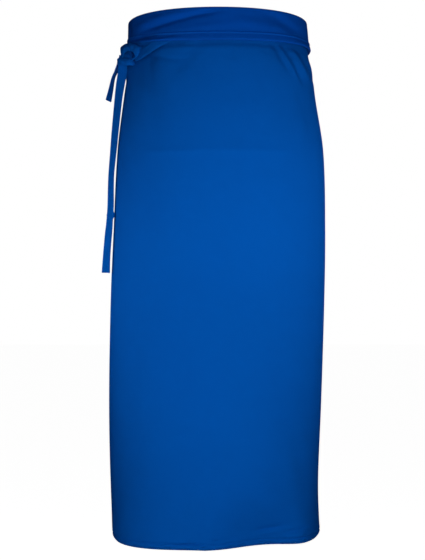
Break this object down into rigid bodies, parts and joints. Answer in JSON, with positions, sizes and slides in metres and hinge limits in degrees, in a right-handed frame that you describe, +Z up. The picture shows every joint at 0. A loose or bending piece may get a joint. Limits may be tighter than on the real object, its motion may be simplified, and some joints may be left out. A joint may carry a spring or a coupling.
{
  "type": "long waist apron",
  "caption": "Long wrap-round waist apron in woven cloth, its top folded down over the waist ties, which are knotted at one hip with two hanging tails.",
  "frame": {"origin": "middle of the waist opening, level with the top fold, where the wearer's waist holds the apron", "axes": "+Z up along the wearer, -Y the wearer's front, -X the side with the knot"},
  "size_m": [0.354, 0.2335, 0.8134],
  "materials": {
    "twill": "matte",
    "tie_tape": "matte",
    "thread": "satin",
    "label": "satin"
  },
  "bodies": {
    "apron": {"cloth_panel": "twill", "waist_hem": "twill", "bottom_hem": "twill", "left_side_hem": "twill", "right_side_hem": "twill", "waist_hem_thread": "thread", "bottom_hem_thread": "thread", "left_side_thread": "thread", "right_side_thread": "thread", "care_label": "label", "far_tie": "tie_tape", "near_tie": "tie_tape", "far_tie_bar_tack": "thread", "near_tie_bar_tack": "thread", "knot_core": "tie_tape", "knot_wrap": "tie_tape", "knot_loop": "tie_tape"},
    "long_tail_top": {"long_tail_root": "tie_tape"},
    "long_tail": {"long_tail_upper": "tie_tape"},
    "long_tail_tip": {"long_tail_lower": "tie_tape", "long_tail_end_hem": "tie_tape"},
    "short_tail_top": {"short_tail_root": "tie_tape"},
    "short_tail": {"short_tail_end": "tie_tape", "short_tail_end_hem": "tie_tape"}
  },
  "joints": [
    {"name": "long_tail_swing_out", "type": "hinge", "parent": "apron", "child": "long_tail_top", "pos_m": [-0.1505, -0.026, -0.066], "axis": [0, 1, 0], "range_deg": [0, 75]},
    {"name": "long_tail_swing_along", "type": "hinge", "parent": "long_tail_top", "child": "long_tail", "pos_m": [-0.1508, -0.026, -0.0765], "axis": [1, 0, 0], "range_deg": [-45, 0]},
    {"name": "long_tail_bend", "type": "hinge", "parent": "long_tail", "child": "long_tail_tip", "pos_m": [-0.1686, -0.026, -0.308], "axis": [-0.6428, 0.766, 0], "range_deg": [0, 80]},
    {"name": "short_tail_swing_out", "type": "hinge", "parent": "apron", "child": "short_tail_top", "pos_m": [-0.158, -0.0135, -0.067], "axis": [0, 1, 0], "range_deg": [0, 60]},
    {"name": "short_tail_swing_along", "type": "hinge", "parent": "short_tail_top", "child": "short_tail", "pos_m": [-0.1596, -0.0135, -0.0775], "axis": [1, 0, 0], "range_deg": [-20, 45]}
  ]
}
